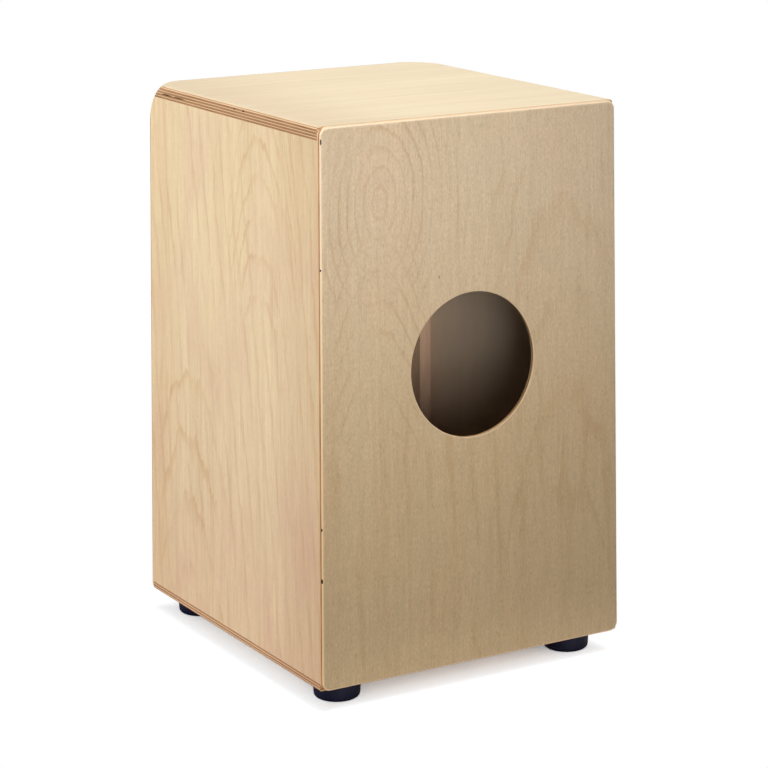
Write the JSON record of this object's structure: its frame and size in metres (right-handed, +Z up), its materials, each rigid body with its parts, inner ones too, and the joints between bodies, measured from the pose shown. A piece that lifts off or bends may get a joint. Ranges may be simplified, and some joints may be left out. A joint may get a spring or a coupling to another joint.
{
  "type": "cajon",
  "caption": "Plywood box drum with a round sound hole in the rear panel, a thin screwed playing face, rounded front top edge, rubber feet and a swinging snare bar inside.",
  "frame": {"origin": "on the floor under the middle of the drum, at the middle of the bounding box's bottom face", "axes": "+Z up; the playing face (tapa) looks towards -Y and the rear panel with the sound hole towards +Y; +X is the right-hand side panel as seen from in front of the playing face"},
  "size_m": [0.3, 0.325, 0.488],
  "materials": {
    "birch_seat": "clear satin lacquer on pale birch veneer, grain across the seat",
    "birch_side": "clear satin lacquer on birch veneer, upright grain, ply edges showing",
    "birch_rear": "clear satin lacquer on thin birch ply, upright grain",
    "birch_tapa": "clear satin lacquer on thin birch ply",
    "batten_wood": "bare sawn hardwood",
    "foot_rubber": "matt moulded black rubber",
    "zinc_steel": "bright zinc plate",
    "black_steel": "black oxide",
    "snare_wire": "bright drawn steel wire",
    "lever_aluminium": "satin mill finish",
    "felt": "pressed wool felt"
  },
  "bodies": {
    "shell": {"seat_panel": "birch_seat", "base_panel": "birch_side", "side_panel_left": "birch_side", "side_panel_right": "birch_side", "rear_panel": "birch_rear", "tapa": "birch_tapa", "top_front_batten": "batten_wood", "bottom_front_batten": "batten_wood", "front_batten_left": "batten_wood", "front_batten_right": "batten_wood", "foot_block_front_left": "batten_wood", "foot_block_front_right": "batten_wood", "foot_block_rear_left": "batten_wood", "foot_block_rear_right": "batten_wood", "foot_front_left": "foot_rubber", "foot_front_right": "foot_rubber", "foot_rear_left": "foot_rubber", "foot_rear_right": "foot_rubber", "foot_washer_front_left": "zinc_steel", "foot_washer_front_right": "zinc_steel", "foot_washer_rear_left": "zinc_steel", "foot_washer_rear_right": "zinc_steel", "foot_screw_front_left": "zinc_steel", "foot_screw_front_right": "zinc_steel", "foot_screw_rear_left": "zinc_steel", "foot_screw_rear_right": "zinc_steel", "tapa_screw_left_low": "black_steel", "tapa_screw_left_mid": "black_steel", "tapa_screw_left_high": "black_steel", "tapa_screw_top_left": "black_steel", "tapa_screw_bottom_left": "black_steel", "tapa_screw_right_low": "black_steel", "tapa_screw_right_mid": "black_steel", "tapa_screw_right_high": "black_steel", "tapa_screw_top_right": "black_steel", "tapa_screw_bottom_right": "black_steel", "pivot_bracket_left": "zinc_steel", "pivot_pin_left": "zinc_steel", "felt_washer_left": "felt", "bracket_screw_left_low": "zinc_steel", "bracket_screw_left_high": "zinc_steel", "pivot_bracket_right": "zinc_steel", "pivot_pin_right": "zinc_steel", "felt_washer_right": "felt", "bracket_screw_right_low": "zinc_steel", "bracket_screw_right_high": "zinc_steel"},
    "snare_unit": {"snare_bar": "batten_wood", "snare_fan_left": "snare_wire", "snare_fan_right": "snare_wire", "snare_lever": "lever_aluminium", "lever_screw_left": "zinc_steel", "lever_screw_right": "zinc_steel", "fan_screw_left_inner": "zinc_steel", "fan_screw_left_outer": "zinc_steel", "fan_screw_right_inner": "zinc_steel", "fan_screw_right_outer": "zinc_steel"},
    "corner_screw_left": {"corner_screw_left": "black_steel"},
    "corner_screw_right": {"corner_screw_right": "black_steel"}
  },
  "joints": [
    {"name": "snare_swing", "type": "hinge", "parent": "shell", "child": "snare_unit", "pos_m": [0, -0.147, 0.39], "axis": [1, 0, 0], "range_deg": [0, 18]},
    {"name": "corner_screw_left_turn", "type": "hinge", "parent": "shell", "child": "corner_screw_left", "pos_m": [-0.144, -0.1625, 0.4415], "axis": [0, -1, 0], "range_deg": [0, 540]},
    {"name": "corner_screw_right_turn", "type": "hinge", "parent": "shell", "child": "corner_screw_right", "pos_m": [0.144, -0.1625, 0.4415], "axis": [0, -1, 0], "range_deg": [0, 540]}
  ]
}
